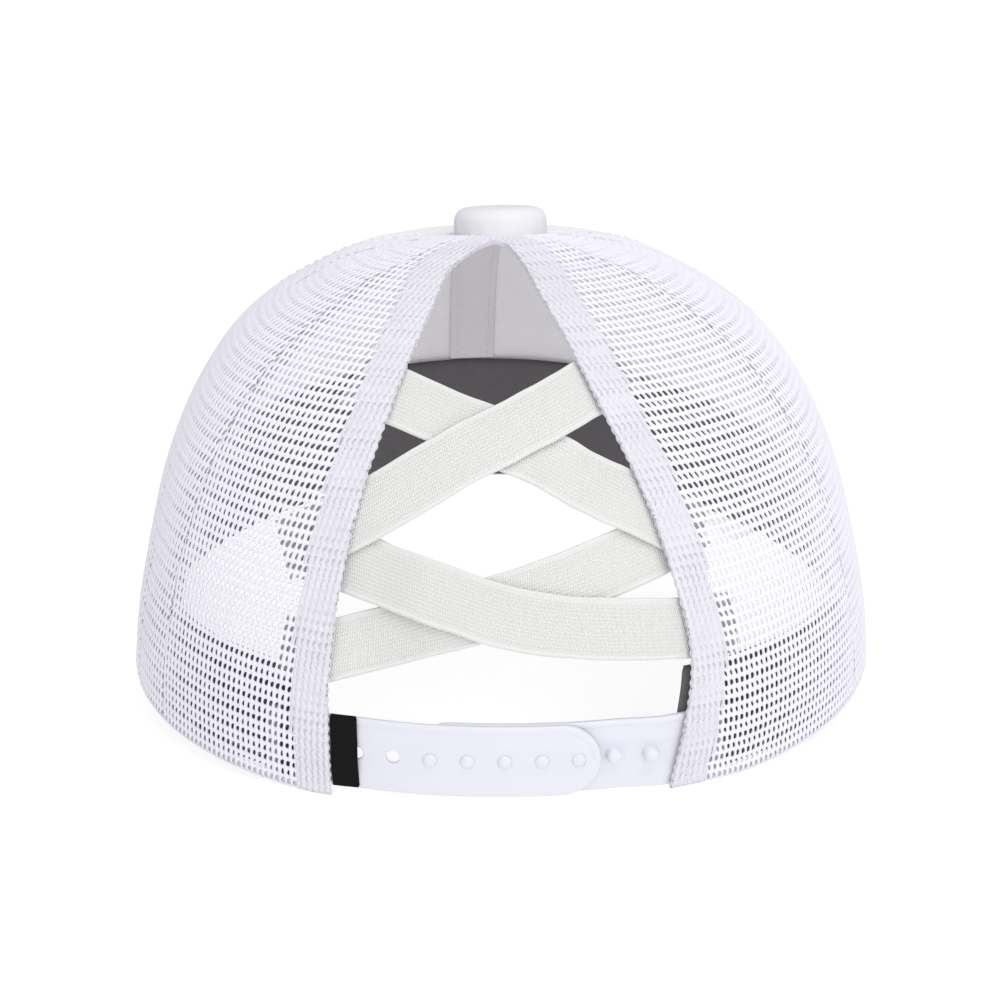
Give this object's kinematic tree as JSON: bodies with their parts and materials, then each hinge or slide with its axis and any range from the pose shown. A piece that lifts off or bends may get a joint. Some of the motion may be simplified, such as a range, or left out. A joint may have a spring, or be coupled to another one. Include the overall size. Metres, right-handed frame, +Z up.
{
  "type": "trucker cap",
  "caption": "White trucker cap with mesh side and rear panels, a ponytail opening crossed by elastic straps, a plastic snap closure and a curved peak.",
  "frame": {"origin": "on the surface that the cap rests on, under the middle of its bounding box", "axes": "+Z up, the peak points along -Y, +X is the wearer's left"},
  "size_m": [0.1971, 0.2309, 0.1258],
  "materials": {
    "cloth": "matt cotton twill",
    "mesh": "knitted polyester mesh",
    "tape": "woven cotton tape",
    "band": "charcoal cotton twill",
    "elastic": "ribbed woven elastic",
    "snap": "satin moulded plastic",
    "label": "black woven tape"
  },
  "bodies": {
    "root": {"front_panel_left": "cloth", "front_panel_right": "cloth", "side_mesh_left": "mesh", "side_mesh_right": "mesh", "rear_mesh_left": "mesh", "rear_mesh_right": "mesh", "opening_hem_left": "mesh", "opening_hem_right": "mesh", "front_seam_tape": "tape", "sweatband": "band", "top_button": "cloth", "upper_strap_front": "elastic", "upper_strap_back": "elastic", "lower_strap_front": "elastic", "lower_strap_back": "elastic", "snap_strap_holes": "snap", "snap_strap_pegs": "snap", "woven_label": "label", "peak": "cloth"}
  },
  "joints": []
}
